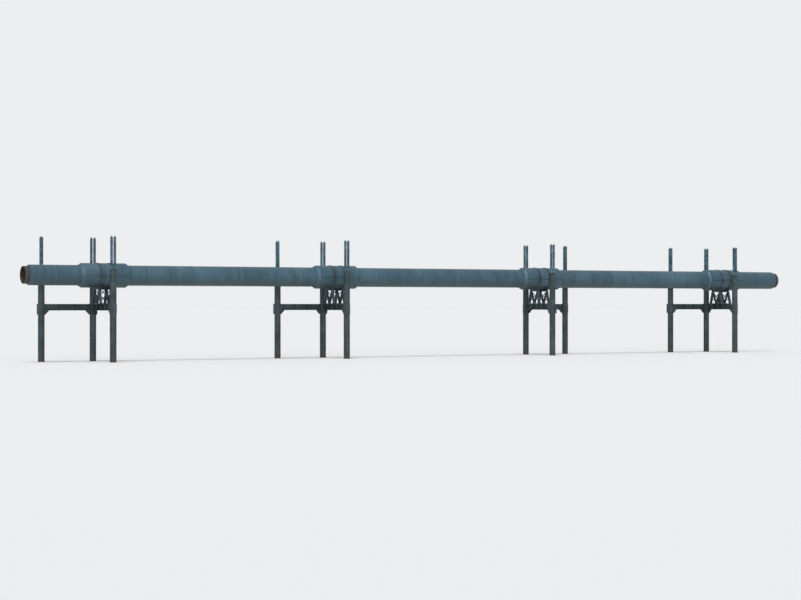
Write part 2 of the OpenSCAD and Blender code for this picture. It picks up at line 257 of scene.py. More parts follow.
def galvanised_sheet(name, zinc, bright_zinc, grime, sheet_tones, band_r=0.0):
    """Galvanised steel sheet, rolled round the insulation and left outdoors for decades.

    The eye gets dull blue-grey zinc, chalky in blots, each sheet of its own tone, with grime washed down the
    sides, and bands of newer strip, which stand proud of the sheet at band_r.
    """
    # Zinc is metal, and a film of its salts hides about half of it.
    material, tree, shader, place = finish_of(name, metallic=0.5)
    along = add(tree, "ShaderNodeSeparateXYZ", {"Vector": place}).outputs["X"]
    # The tone changes every band pitch from the middle of each bay, as the laps do; an end jacket has one.
    last = support_x(SUPPORTS[-1]) + SLEEVE_L / 2
    along = add(tree, "ShaderNodeClamp", {"Value": along, "Min": -last, "Max": last}).outputs[0]
    bay_x = add(tree, "ShaderNodeMath", {0: along, 1: BAY / 2}, operation="ADD")
    bay_x = add(tree, "ShaderNodeMath", {0: bay_x.outputs[0], 1: BAY}, operation="SNAP")
    from_middle = add(tree, "ShaderNodeMath", {0: along, 1: bay_x.outputs[0]}, operation="SUBTRACT")
    sheet = add(tree, "ShaderNodeMath", {0: from_middle.outputs[0], 1: BAND_PITCH}, operation="SNAP")
    sheet = add(tree, "ShaderNodeMath", {0: sheet.outputs[0], 1: bay_x.outputs[0]}, operation="ADD")
    tone = add(tree, "ShaderNodeTexWhiteNoise", {"W": sheet.outputs[0]}, noise_dimensions="1D")
    # Spangle of 15 mm on the real sheet is 8 mm here; it is drawn 14 mm across, so that it shows near by.
    crystal = add(tree, "ShaderNodeTexVoronoi", {"Vector": place, "Scale": 1 / (14 * MM)}).outputs["Color"]
    crystal = add(tree, "ShaderNodeSeparateXYZ", {"Vector": crystal}).outputs["X"]
    # Chalky zinc salts lie in blots about 800 mm across.
    chalk = add(tree, "ShaderNodeTexNoise", {
        "Vector": place, "Scale": 1 / (800 * MM), "Detail": 6, "Roughness": 0.6})
    # Runs of rain are 110 mm wide and reach 1250 mm, round the whole side.
    run_place = add(tree, "ShaderNodeMapping", {"Vector": place, "Scale": one_over(110, 1250, 1250)})
    runs = add(tree, "ShaderNodeTexNoise", {"Vector": run_place.outputs[0], "Scale": 1.0, "Detail": 5})
    normal = add(tree, "ShaderNodeNewGeometry", {}).outputs["Normal"]
    facing_up = add(tree, "ShaderNodeSeparateXYZ", {"Vector": normal}).outputs["Z"]
    colour = coat(tree, zinc, bright_zinc, crystal, 0.0, 1.0, 0.3)
    colour = coat(tree, colour, bright_zinc, tone.outputs["Value"], 0.4, 1.0, sheet_tones)
    colour = coat(tree, colour, bright_zinc, chalk.outputs["Fac"], 0.45, 0.7, 0.5)
    if band_r:
        # The bands' flats lie 0.2 mm inside band_r, so the paler colour begins a little lower.
        outward = add(tree, "ShaderNodeVectorMath", {
            0: place, 1: (0, 1, 1), 2: (0, 0, -PIPE_Z)}, operation="MULTIPLY_ADD").outputs[0]
        radius = add(tree, "ShaderNodeVectorMath", {0: outward}, operation="LENGTH").outputs["Value"]
        colour = coat(tree, colour, BAND_STRIP, radius, band_r - 0.7 * MM, band_r - 0.6 * MM, 0.45)
    colour = coat(tree, colour, grime, runs.outputs["Fac"], 0.48, 0.72, 0.42)
    # The underside is painted a greener grey: road dust, and a painted reflection of green ground below.
    colour = coat(tree, colour, UNDERSIDE_DUST_AND_REFLECTION, facing_up, 0.1, -0.9, 0.6)
    # Panels between fixings are pulled in and out by about 4 mm.
    panels = add(tree, "ShaderNodeTexNoise", {"Vector": place, "Scale": 1 / (450 * MM), "Detail": 2})
    surface(tree, shader, colour, crystal, 0.42, 0.56, panels.outputs["Fac"], 4 * MM)
    return material


def weathered_steel(name, steel, worn_steel, foot_rust=0.0):
    """Rolled structural steel, its dark primer dulled by weather and worn off at the edges.

    The eye gets a near-black grey with faint brown runs, rusty arrises and pale dust where faces look up, and
    rust round the foot, as high as foot_rust in metres.
    """
    # Steel shows through primer and rust over about a quarter of the face.
    material, tree, shader, place = finish_of(name, metallic=0.25)
    # Mottle 300 mm across, broken up into worn spots of 70 mm, and chips of 40 mm.
    mottle = add(tree, "ShaderNodeTexNoise", {
        "Vector": place, "Scale": 1 / (300 * MM), "Detail": 9, "Roughness": 0.7})
    spots = add(tree, "ShaderNodeTexNoise", {
        "Vector": place, "Scale": 1 / (70 * MM), "Detail": 8, "Roughness": 0.72})
    chips = add(tree, "ShaderNodeTexNoise", {
        "Vector": place, "Scale": 1 / (40 * MM), "Detail": 5, "Roughness": 0.65})
    # The mill's grain of a millimetre or two is drawn 25 mm coarse.
    grain = add(tree, "ShaderNodeTexNoise", {
        "Vector": place, "Scale": 1 / (25 * MM), "Detail": 7, "Roughness": 0.7})
    # Rain leaves brown runs 70 mm wide and dark ones 30 mm wide, about a metre long.
    run_place = add(tree, "ShaderNodeMapping", {"Vector": place, "Scale": one_over(70, 70, 1100)})
    runs = add(tree, "ShaderNodeTexNoise", {"Vector": run_place.outputs[0], "Scale": 1.0, "Detail": 5})
    wash_place = add(tree, "ShaderNodeMapping", {"Vector": place, "Scale": one_over(30, 30, 770)})
    washes = add(tree, "ShaderNodeTexNoise", {"Vector": wash_place.outputs[0], "Scale": 1.0, "Detail": 4})
    normal = add(tree, "ShaderNodeNewGeometry", {}).outputs["Normal"]
    facing_up = add(tree, "ShaderNodeSeparateXYZ", {"Vector": normal}).outputs["Z"]
    # Arrises: where a normal rounded over 5 mm leaves the true one.
    rounded = add(tree, "ShaderNodeBevel", {"Radius": 5 * MM}, samples=4).outputs[0]
    flat = add(tree, "ShaderNodeVectorMath", {0: rounded, 1: normal}, operation="DOT_PRODUCT")
    chipped = add(tree, "ShaderNodeMath", {
        0: chips.outputs["Fac"], 1: -0.35, 2: flat.outputs["Value"]}, operation="MULTIPLY_ADD")
    # Rust pits gather along the brown runs.
    pitted = add(tree, "ShaderNodeMath", {
        0: runs.outputs["Fac"], 1: 0.6, 2: chips.outputs["Fac"]}, operation="MULTIPLY_ADD")
    colour = coat(tree, steel, worn_steel, mottle.outputs["Fac"], 0.42, 0.6)
    colour = coat(tree, colour, worn_steel, spots.outputs["Fac"], 0.5, 0.6, 0.6)
    colour = coat(tree, colour, DARK_WASH, washes.outputs["Fac"], 0.52, 0.68, 0.45)
    colour = coat(tree, colour, RUST, runs.outputs["Fac"], 0.56, 0.76, 0.4)
    colour = coat(tree, colour, RUST, pitted.outputs[0], 0.96, 1.02, 0.6)
    colour = coat(tree, colour, RUST, chipped.outputs[0], 0.78, 0.66, 0.7)
    dusty = add(tree, "ShaderNodeMath", {0: facing_up, 1: spots.outputs["Fac"]}, operation="MULTIPLY")
    colour = coat(tree, colour, DRY_DUST, dusty.outputs[0], 0.38, 0.62, 0.5)
    if foot_rust:
        height = add(tree, "ShaderNodeSeparateXYZ", {"Vector": place}).outputs["Z"]
        ragged = add(tree, "ShaderNodeMath", {
            0: spots.outputs["Fac"], 1: -2.5 * foot_rust, 2: height}, operation="MULTIPLY_ADD")
        colour = coat(tree, colour, RUST, ragged.outputs[0], -0.45 * foot_rust, -1.1 * foot_rust, 0.75)
    surface(tree, shader, colour, spots.outputs["Fac"], 0.45, 0.8, grain.outputs["Fac"], 2 * MM,
            Normal=rounded)
    return material


def hot_rolled_pipe(name):
    """Bare line pipe, hot rolled, with brown rust over blue-black mill scale and a bevel ground bright.

    The eye gets a dark, rough ring at each end of the run, with a thin pale edge.
    """
    # Scale and rust are no metal; the bare patches between them are.
    material, tree, shader, place = finish_of(name, metallic=0.3)
    # Scale flakes off in blots of 120 mm, with grains of rust 20 mm across.
    blots = add(tree, "ShaderNodeTexNoise", {
        "Vector": place, "Scale": 1 / (120 * MM), "Detail": 6, "Roughness": 0.65})
    grains = add(tree, "ShaderNodeTexNoise", {"Vector": place, "Scale": 1 / (20 * MM), "Detail": 4})
    along = add(tree, "ShaderNodeSeparateXYZ", {"Vector": place}).outputs["X"]
    from_middle = add(tree, "ShaderNodeMath", {0: along}, operation="ABSOLUTE")
    colour = coat(tree, "#34383c", "#51423a", blots.outputs["Fac"], 0.4, 0.64)
    colour = coat(tree, colour, "#66503f", grains.outputs["Fac"], 0.52, 0.78, 0.7)
    bevel_x = RUN_HALF - PIPE_BEVEL
    colour = coat(tree, colour, "#8c8f90", from_middle.outputs[0], bevel_x - MM, bevel_x + MM, 0.85)
    surface(tree, shader, colour, grains.outputs["Fac"], 0.55, 0.8, blots.outputs["Fac"], 1 * MM)
    return material


def extruded_aluminium(name):
    """Extruded aluminium fins and machined stems, grey with oxide and road dust.

    The eye gets a soft sheen along the fins, with dark streaks along them.
    """
    # Aluminium is metal, under a thin film of oxide and dust.
    material, tree, shader, place = finish_of(name, metallic=0.75)
    # Die lines run along the fins, 8 mm apart, drawn coarser than the real half millimetre.
    die_place = add(tree, "ShaderNodeMapping", {"Vector": place, "Scale": one_over(8, 8, 670)})
    die_lines = add(tree, "ShaderNodeTexNoise", {"Vector": die_place.outputs[0], "Scale": 1.0, "Detail": 3})
    oxide = add(tree, "ShaderNodeTexNoise", {
        "Vector": place, "Scale": 1 / (180 * MM), "Detail": 6, "Roughness": 0.6})
    colour = coat(tree, "#5c7988", "#829fae", oxide.outputs["Fac"], 0.4, 0.62)
    colour = coat(tree, colour, "#435862", die_lines.outputs["Fac"], 0.5, 0.75, 0.6)
    surface(tree, shader, colour, oxide.outputs["Fac"], 0.42, 0.62, die_lines.outputs["Fac"], 0.3 * MM)
    return material


def ground_stainless(name):
    """Stainless plate, ground in one direction and polished by the travel of the shoe.

    The eye gets a paler metal with fine scratches and brown stains that have washed down onto it.
    """
    # Stainless steel stays bare metal.
    material, tree, shader, place = finish_of(name, metallic=1.0)
    # Scratches 4 mm apart and 200 mm long, drawn coarser than a grinding belt's tenths of a millimetre.
    belt_place = add(tree, "ShaderNodeMapping", {"Vector": place, "Scale": one_over(4, 200, 4)})
    scratches = add(tree, "ShaderNodeTexNoise", {
        "Vector": belt_place.outputs[0], "Scale": 1.0, "Detail": 3})
    stains = add(tree, "ShaderNodeTexNoise", {"Vector": place, "Scale": 1 / (150 * MM), "Detail": 5})
    colour = coat(tree, "#737b7e", "#969da0", scratches.outputs["Fac"], 0.3, 0.7)
    colour = coat(tree, colour, "#4f4a42", stains.outputs["Fac"], 0.42, 0.6, 0.7)
    surface(tree, shader, colour, stains.outputs["Fac"], 0.32, 0.6, scratches.outputs["Fac"], 0.2 * MM)
    return material


def zinc_fastener(name):
    """Hot-dip galvanised bolts, rivets and buckles, thick dull zinc.

    The eye gets small grey heads, paler than the steel, some of them stained brown.
    """
    # Thick zinc, dulled less than on the sheets.
    material, tree, shader, place = finish_of(name, metallic=0.65)
    # Dipped zinc runs in lumps of 20 mm; whole fasteners go brown in patches of 400 mm.
    lumps = add(tree, "ShaderNodeTexNoise", {
        "Vector": place, "Scale": 1 / (20 * MM), "Detail": 4, "Roughness": 0.7})
    stained = add(tree, "ShaderNodeTexNoise", {"Vector": place, "Scale": 1 / (400 * MM), "Detail": 3})
    colour = coat(tree, "#525e65", "#727e87", lumps.outputs["Fac"], 0.35, 0.62)
    colour = coat(tree, colour, "#56473c", stained.outputs["Fac"], 0.56, 0.68, 0.75)
    surface(tree, shader, colour, lumps.outputs["Fac"], 0.45, 0.7, lumps.outputs["Fac"], 0.4 * MM)
    return material


def gunned_sealant(name, dark, pale):
    """Butyl sealant or rubber, gunned or pressed into a joint.

    The eye gets a nearly black matt line with small lumps.
    """
    # Rubbers bend light by 1.52.
    material, tree, shader, place = finish_of(name, metallic=0.0, IOR=1.52)
    # A gunned bead has lumps about 40 mm apart.
    lumps = add(tree, "ShaderNodeTexNoise", {"Vector": place, "Scale": 1 / (40 * MM), "Detail": 3})
    colour = coat(tree, dark, pale, lumps.outputs["Fac"], 0.35, 0.65)
    surface(tree, shader, colour, lumps.outputs["Fac"], 0.7, 0.9, lumps.outputs["Fac"], 1.5 * MM)
    return material


def weld_bead(name):
    """Arc weld metal as it was laid, never painted over.

    The eye gets a dark rippled seam, browner than the plates beside it.
    """
    # Steel under a skin of oxide and slag.
    material, tree, shader, place = finish_of(name, metallic=0.4)
    # Ripples are 3 mm apart on a real bead and are drawn 10 mm apart.
    ripples = add(tree, "ShaderNodeTexNoise", {"Vector": place, "Scale": 1 / (10 * MM), "Detail": 3})
    colour = coat(tree, "#2c3235", "#4f4138", ripples.outputs["Fac"], 0.35, 0.65)
    surface(tree, shader, colour, ripples.outputs["Fac"], 0.5, 0.75, ripples.outputs["Fac"], 1.2 * MM)
    return material


# Zinc, bright zinc, grime, and how far the tones of the sheets differ.
JACKET_ZINC = ("#3a5664", "#557281", "#2a3a40", 0.55)
SLEEVE_ZINC = ("#3e5968", "#597484", "#29393f", 0.0)
FINISHES = {
    "jacket_sheet": galvanised_sheet("galvanised_jacket_sheet", *JACKET_ZINC, band_r=JACKET_R + BAND_T),
    "sleeve_sheet": galvanised_sheet("galvanised_sleeve_sheet", *SLEEVE_ZINC),
    "pile_steel": weathered_steel("weathered_pile_steel", "#2c3b3e", "#3f5053", foot_rust=300 * MM),
    "beam_steel": weathered_steel("weathered_beam_steel", "#324146", "#48575c"),
    "bracket_steel": weathered_steel("weathered_bracket_steel", "#2d3c40", "#415055"),
    "saddle_steel": weathered_steel("weathered_saddle_steel", "#2c3d46", "#42545e"),
    "carrier_steel": hot_rolled_pipe("hot_rolled_line_pipe"),
    "fin_aluminium": extruded_aluminium("extruded_fin_aluminium"),
    "slide_stainless": ground_stainless("ground_slide_stainless"),
}
LAP_SHEET = galvanised_sheet("galvanised_lap_sheet", *JACKET_ZINC)
ZINC_FASTENER = zinc_fastener("dipped_zinc_fasteners")
SEALANT = gunned_sealant("butyl_sealant", "#1c2022", "#33383a")
LINER_RUBBER = gunned_sealant("liner_rubber", "#191b1c", "#2a2d2e")
WELD = weld_bead("arc_weld_metal")


def dress_solids():
    """Gives every solid the finish of its slot."""
    for row in frame["record"]["subparts"]:
        for slot in frame["nodes"][row["node"]].material_slots:
            slot.material = FINISHES[row["material_slot"]]


# Shapes: each is a list of points and a list of faces.


def stacked(rings):
    """Skin over rings of points, each with as many points as the next, closed at both ends."""
    count = len(rings[0])
    points = [point for ring in rings for point in ring]
    faces = [tuple(reversed(range(count)))]
    for level in range(len(rings) - 1):
        for k in range(count):
            a, b = level * count + k, level * count + (k + 1) % count
            faces.append((a, b, b + count, a + count))
    faces.append(tuple(range(len(points) - count, len(points))))
    return points, faces


def drawn(section, low, high):
    """Draws a closed section of (x, y) points along Z."""
    return stacked([[(x, y, z) for x, y in section] for z in (low, high)])


def round_bar(sides, levels):
    """Upright bar with a polygon of the given sides, from (radius, height) levels."""
    turns = [2 * math.pi * k / sides for k in range(sides)]
    return stacked([[(r * math.cos(a), r * math.sin(a), z) for a in turns] for r, z in levels])


def flat_bar(length, width, height, chamfer=0.25):
    """Bar along X that stands on its middle, its top edges cut by a share of its least side."""
    cut = min(length, width, height) * chamfer
    rings = []
    for x, y, z in ((length / 2, width / 2, 0), (length / 2, width / 2, height - cut),
                    (length / 2 - cut, width / 2 - cut, height)):
        rings.append([(-x, -y, z), (x, -y, z), (x, y, z), (-x, y, z)])
    return stacked(rings)


def looped(rings):
    """Skin over rings of points that come back to the first one."""
    points, faces = stacked(rings + rings[:1])
    whole = len(rings) * len(rings[0])
    return points[:whole], [tuple(n % whole for n in face) for face in faces[1:-1]]


def turned(profile, steps, sweep=360.0, begin=0.0):
    """Turns a closed profile of (radius, height) points round Z; less than a full turn gets flat ends."""
    rings = []
    for s in range(steps + 1):
        angle = math.radians(begin + sweep * s / steps)
        rings.append([(r * math.cos(angle), r * math.sin(angle), z) for r, z in reversed(profile)])
    return stacked(rings) if sweep < 360 else looped(rings[:-1])


def mitred(profile, length, width):
    """Runs a closed profile of (reach, height) points round a rectangle, with mitred corners."""
    return looped([[(x * (length / 2 + reach), y * (width / 2 + reach), z) for reach, z in reversed(profile)]
                   for x, y in ((-1, -1), (1, -1), (1, 1), (-1, 1))])


def together(*shapes):
    """Several shapes as one."""
    points, faces = [], []
    for more_points, more_faces in shapes:
        faces += [tuple(len(points) + n for n in face) for face in more_faces]
        points = points + more_points
    return points, faces


def sized(across, *levels):
    """Levels of a bar, from (radius, height) shares of a bolt's width across its flats."""
    return [(across * r, across * z) for r, z in levels]


def hex_head(across):
    """Hexagon head on its washer, standing on Z = 0."""
    washer = round_bar(14, sized(across, (0.95, 0), (0.95, 0.14)))
    head = round_bar(6, sized(across, (0.577, 0.14), (0.577, 0.7), (0.577 * 0.88, 0.78)))
    return together(washer, head)


def hex_nut(across):
    """Nut on its washer, with the end of the bolt standing out of it."""
    thread = round_bar(10, sized(across, (0.3, 0.7), (0.3, 1.02), (0.25, 1.1)))
    return together(hex_head(across), thread)


def rivet(radius):
    """Low round head, standing on Z = 0."""
    return round_bar(8, [(radius, 0), (radius * 0.86, radius * 0.34), (radius * 0.45, radius * 0.56)])


def bead(length, size):
    """Weld bead along Z with three outer facets, its back sunk into the plates behind it."""
    section = [(-size, 0), (0, -size), (size * 0.75, -size * 0.35), (size * 0.75, size * 0.35), (0, size)]
    return drawn(section, 0, length)


def fillet(radius, size):
    """Profile of a bead of weld or sealant round a wall of the given radius."""
    return [(radius - MM, 0), (radius + size, 0), (radius + size * 0.6, size * 0.6), (radius - MM, size)]


def weld_cap(radius, half_width, crown, shoulder, shoulder_height, way=1):
    """Section of a butt weld in a round wall, standing out of it or, where way is -1, into its bore."""
    section = ((-MM, -half_width), (shoulder_height, -shoulder), (crown, 0),
               (shoulder_height, shoulder), (-MM, half_width))
    return [(radius + way * x, way * y) for x, y in section]


def flipped(profile):
    """The profile upside down."""
    return [(r, -z) for r, z in reversed(profile)]


def stand(foot, way=UP):
    """Puts a shape's foot at a place, with its Z axis along way."""
    return Matrix.Translation(foot) @ way.to_track_quat("Z", "Y").to_matrix().to_4x4()


def round_pipe(x):
    """Puts a turned shape round the pipe; its angle 0 is straight down and 180 straight up."""
    return Matrix.Translation((x, 0, PIPE_Z)) @ Matrix.Rotation(math.radians(90), 4, "Y")


def on_pipe(x, radius, angle):
    """Puts a shape on the pipe's round with Z outward; angle 0 is straight up and 90 the near side."""
    return (Matrix.Translation((x, 0, PIPE_Z)) @ Matrix.Rotation(math.radians(angle), 4, "X")
            @ Matrix.Translation((0, 0, radius)))


def ring_pair(profile, x, reach, *sweep):
    """A profile turned round the pipe at reach to the right of x, and its mirror image to the left.

    The turn and where it begins may follow, as for turned.
    """
    return [(turned(profile, TURNS, *sweep), round_pipe(x + reach)),
            (turned(flipped(profile), TURNS, *sweep), round_pipe(x - reach))]


def bolted(at, way, across, half_grip, shank_r=0.0, half_gap=0.0):
    """A bolt through a joint, its head towards way, and the shank that shows where the joint has a gap."""
    parts = [(hex_head(across), stand(at + way * half_grip, way)),
             (hex_nut(across), stand(at - way * half_grip, -way))]
    if half_gap:
        shank = round_bar(10, [(shank_r, 0), (shank_r, 2 * half_gap)])
        parts.append((shank, stand(at - way * half_gap, way)))
    return parts


def spaced(low, high, pitch):
    """Places about a pitch apart that fill low to high evenly."""
    count = max(1, round((high - low) / pitch))
    return [low + (high - low) * (k + 0.5) / count for k in range(count)]


def piece(name, parts, finish, round_over=30):
    """One piece from (shape, matrix) pairs; faces that turn by less than round_over degrees shade as one."""
    points, faces = [], []
    for (shape_points, shape_faces), matrix in parts:
        faces += [tuple(len(points) + n for n in face) for face in shape_faces]
        points += [matrix @ Vector(p) for p in shape_points]
    mesh = bpy.data.meshes.new(name)
    mesh.from_pydata(points, [], faces)
    mesh.validate()
    mesh.materials.append(finish)
    mesh.shade_smooth()
    mesh.set_sharp_from_angle(angle=math.radians(round_over))
    thing = bpy.data.objects.new(name, mesh)
    bpy.context.scene.collection.objects.link(thing)
    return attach(thing, "root")


# Pieces

TURNS = 96
POST_TURNS = 48
SHEET_T = 1 * MM
LAP_W = 22 * MM
LAP_ANGLES = (112, 124)
LAP_RISE = 1.5 * SHEET_T
RIVET_R = 4 * MM
RIVET_PITCH = 120 * MM
RING_RIVETS = 24
BUCKLE_ANGLES = (50, 55)
# The sloping closures begin here, on both sides of the middle.
CLOSURE_X = RUN_HALF - BARE_END - CLOSURE_L - 2 * MM
HOOP_W = 24 * MM
HOOP_RISE = 2.5 * MM
# Widths of bolts across the flats, and radii of the shanks that show.
SEAM_BOLT = 13 * MM
STRAP_BOLT = 24 * MM
STRAP_SHANK_R = 7 * MM
BEAM_BOLT = 20 * MM
COLLAR_BOLT = 22 * MM
COLLAR_SHANK_R = 6 * MM
GLAND_BOLT = 7 * MM
WELD_SIZE = 6 * MM
WEB_WELD_SIZE = 5 * MM


def jacket_spans():
    """Each jacket's ends, and the places of its bands, as on the solids."""
    for k in JACKETS:
        left, right = (corner.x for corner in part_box(f"jacket_{k}"))
        count = math.floor((right - left) / BAND_PITCH)
        first = (left + right) / 2 - (count - 1) / 2 * BAND_PITCH
        yield left, right, [first + n * BAND_PITCH for n in range(count)]


def sheet_spans(left, right, bands):
    """Both ends of every sheet of a jacket, and the joints where sheets meet, midway between bands."""
    joints = [(a + b) / 2 for a, b in zip(bands, bands[1:])]
    return list(zip([left] + joints, joints + [right])), joints


def jacket_laps():
    """Laps of the jacket's sheets: a ring where two meet, and a long lap low on the near side of each."""
    ring_lap = [(JACKET_R - MM, -LAP_W), (JACKET_R + 0.3 * MM, -LAP_W), (JACKET_R + SHEET_T, -LAP_W / 2),
                (JACKET_R + LAP_RISE, -LAP_W / 6), (JACKET_R + LAP_RISE, 0), (JACKET_R - MM, 0)]
    parts = []
    for left, right, bands in jacket_spans():
        sheets, joints = sheet_spans(left, right, bands)
        parts += [(turned(ring_lap, TURNS), round_pipe(x)) for x in joints]
        for n, (a, b) in enumerate(sheets):
            begins, ends = max(a + MM, -CLOSURE_X), min(b - LAP_W / 6, CLOSURE_X)
            strip = flat_bar(ends - begins, LAP_W, 2 * LAP_RISE, 0.5)
            parts.append((strip, on_pipe((begins + ends) / 2, JACKET_R - LAP_RISE, LAP_ANGLES[n % 2])))
    return piece("jacket_laps", parts, LAP_SHEET)


def jacket_rivets():
    """Rivets along the ring laps and the long laps, and where the closures are fixed to the last sheets."""
    head = rivet(RIVET_R)
    angles = [(k + 0.5) * 360 / RING_RIVETS for k in range(RING_RIVETS)]
    parts = [(head, on_pipe(x, JACKET_R - 0.3 * MM, angle))
             for x in (LAP_W / 2 - CLOSURE_X, CLOSURE_X - LAP_W / 2) for angle in angles]
    for left, right, bands in jacket_spans():
        sheets, joints = sheet_spans(left, right, bands)
        for x in joints:
            parts += [(head, on_pipe(x - LAP_W / 2, JACKET_R + SHEET_T, angle)) for angle in angles]
        for n, (a, b) in enumerate(sheets):
            parts += [(head, on_pipe(x, JACKET_R + LAP_RISE, LAP_ANGLES[n % 2]))
                      for x in spaced(a + CLOSURE_L, b - CLOSURE_L, RIVET_PITCH)]
    return piece("jacket_rivets", parts, ZINC_FASTENER, 50)


def band_buckles():
    """Crimped buckle with its turned-back tail where each band is drawn tight, high on the near side."""
    buckle = together(flat_bar(34 * MM, 44 * MM, 5 * MM), flat_bar(26 * MM, 14 * MM, 9 * MM))
    parts = []
    for _, _, bands in jacket_spans():
        for n, x in enumerate(bands):
            parts.append((buckle, on_pipe(x, JACKET_R + BAND_T, BUCKLE_ANGLES[n % 2])))
    return piece("band_buckles", parts, ZINC_FASTENER)


def closure_sealant():
    """Sealant where the jacket's closures end on the bare pipe."""
    parts = ring_pair(fillet(PIPE_R, 9 * MM), 0, RUN_HALF - BARE_END)
    return piece("closure_sealant", parts, SEALANT, 60)


def sleeve_sealant():
    """Sealant where the lips of the sleeves end on the jacket."""
    parts = []
    for i in SUPPORTS:
        parts += ring_pair(fillet(JACKET_R, 7 * MM), support_x(i), SLEEVE_L / 2)
    return piece("sleeve_sealant", parts, SEALANT, 60)


def sleeve_hoops():
    """Swaged hoops round the barrel of each sleeve, at its ends and outside the straps."""
    top = SLEEVE_R + HOOP_RISE
    profile = [(SLEEVE_R - MM, -HOOP_W / 2), (SLEEVE_R + 0.5 * MM, -HOOP_W / 2), (top, -HOOP_W / 6),
               (top, HOOP_W / 6), (SLEEVE_R + 0.5 * MM, HOOP_W / 2), (SLEEVE_R - MM, HOOP_W / 2)]
    from_end, past_frame = 16 * MM, 70 * MM
    away = (BARREL_HALF - from_end, (FRAME_GAP + FRAME_T) / 2 + past_frame)
    parts = [(turned(profile, TURNS), round_pipe(support_x(i) + side * x))
             for i in SUPPORTS for side in (-1, 1) for x in away]
    return piece("sleeve_hoops", parts, FINISHES["sleeve_sheet"], 50)


GORES = 16


def gore_places():
    """Place of every gore lap, with X along the slope of a sleeve's shoulder and Z outward."""
    slope = math.atan2(SLEEVE_R - LIP_R, SHOULDER_L)
    for i in SUPPORTS:
        for side in (-1, 1):
            x = support_x(i) + side * (SLEEVE_L / 2 - LIP_L - SHOULDER_L / 2)
            for k in range(GORES):
                around = on_pipe(x, (SLEEVE_R + LIP_R) / 2, (k + 0.5) * 360 / GORES)
                yield around @ Matrix.Rotation(side * slope, 4, "Y")


def shoulder_gores():
    """Laps between the gores that make up each sloping shoulder."""
    strip = flat_bar(math.hypot(SLEEVE_R - LIP_R, SHOULDER_L) - 4 * MM, 16 * MM, 3 * SHEET_T, 0.5)
    sunk = Matrix.Translation((0, 0, -1.5 * SHEET_T))
    parts = [(strip, place @ sunk) for place in gore_places()]
    return piece("shoulder_gores", parts, FINISHES["sleeve_sheet"])


def gore_rivets():
    """Three rivets down each gore lap."""
    head, pitch = rivet(RIVET_R), 36 * MM
    parts = [(head, place @ Matrix.Translation((x, 0, SHEET_T)))
             for place in gore_places() for x in (-pitch, 0, pitch)]
    return piece("gore_rivets", parts, ZINC_FASTENER, 50)


def seam_bolts():
    """Bolts through the seam flanges along both sides of the sleeves."""
    outer = (FRAME_GAP + FRAME_T) / 2 + LIP_L
    inner = (FRAME_GAP - FRAME_T) / 2 - LIP_L
    along = spaced(-inner, inner, 90 * MM)
    for end in (-1, 1):
        along += [end * x for x in spaced(outer, BARREL_HALF, 100 * MM)]
    parts = []
    for i in SUPPORTS:
        for side in (-1, 1):
            for x in along:
                at = Vector((support_x(i) + x, side * (SLEEVE_R + SEAM_REACH * 0.55), PIPE_Z))
                parts += bolted(at, UP, SEAM_BOLT, SEAM_T / 2)
    return piece("seam_bolts", parts, ZINC_FASTENER)


def frame_places():
    """Place of every trestle frame along the pipe."""
    return [support_x(i) + end * FRAME_GAP / 2 for i in SUPPORTS for end in (-1, 1)]


def strap_liners():
    """Rubber under each strap, showing as a lip along both edges, and ending at the cradle plate."""
    lip = 7 * MM
    profile = [(SLEEVE_R - MM, 0), (SLEEVE_R + 5 * MM, 0), (SLEEVE_R + 3.5 * MM, lip), (SLEEVE_R - MM, lip)]
    begin = CRADLE_HALF_ANGLE + 2
    parts = []
    for x in frame_places():
        parts += ring_pair(profile, x, STRAP_W / 2, 360 - 2 * begin, begin)
    return piece("strap_liners", parts, LINER_RUBBER, 60)


def strap_bolts():
    """Two bolts through each pair of strap lugs, their shanks showing in the gap."""
    parts = []
    for x in frame_places():
        for side in (-1, 1):
            for step in (-1, 1):
                at = Vector((x + step * STRAP_W / 4, side * (STRAP_R + STRAP_T + LUG_REACH * 0.52), PIPE_Z))
                parts += bolted(at, UP, STRAP_BOLT, LUG_GAP / 2 + LUG_T, STRAP_SHANK_R, LUG_GAP / 2)
    return piece("strap_bolts", parts, ZINC_FASTENER)


LEG_HEAD_Z = PIPE_Z - math.sqrt((STRAP_R + CRADLE_T) ** 2 - LEG_HEAD ** 2)


def leg_y(z):
    """Distance of a leg's centreline from the pipe's middle plane at height z."""
    return LEG_HEAD + (LEG_FOOT - LEG_HEAD) * (LEG_HEAD_Z - z) / (LEG_HEAD_Z - SHOE_TOP)


def saddle_welds():
    """Weld beads round the feet of the legs and struts, and where the cross bracing meets the frames."""
    parts = []
    for x in frame_places():
        for y, width in ((-LEG_FOOT, LEG_W), (0, 2 * STRUT_W), (LEG_FOOT, LEG_W)):
            round_foot = mitred(fillet(0, WELD_SIZE), FRAME_T, width)
            parts.append((round_foot, Matrix.Translation((x, y, SHOE_TOP))))
    round_brace = turned(fillet(BRACE_R, WELD_SIZE), 20)
    brace_low, brace_high = SHOE_TOP + LEG_W, LEG_HEAD_Z - LEG_W
    share = FRAME_T / 2 / FRAME_GAP
    for i in SUPPORTS:
        for side in (-1, 1):
            for end in (-1, 1):
                low = Vector((support_x(i) - end * FRAME_GAP / 2, side * leg_y(brace_low), brace_low))
                high = Vector((support_x(i) + end * FRAME_GAP / 2, side * leg_y(brace_high), brace_high))
                parts.append((round_brace, stand(low.lerp(high, share), high - low)))
                parts.append((round_brace, stand(high.lerp(low, share), low - high)))
    return piece("saddle_welds", parts, WELD, 60)


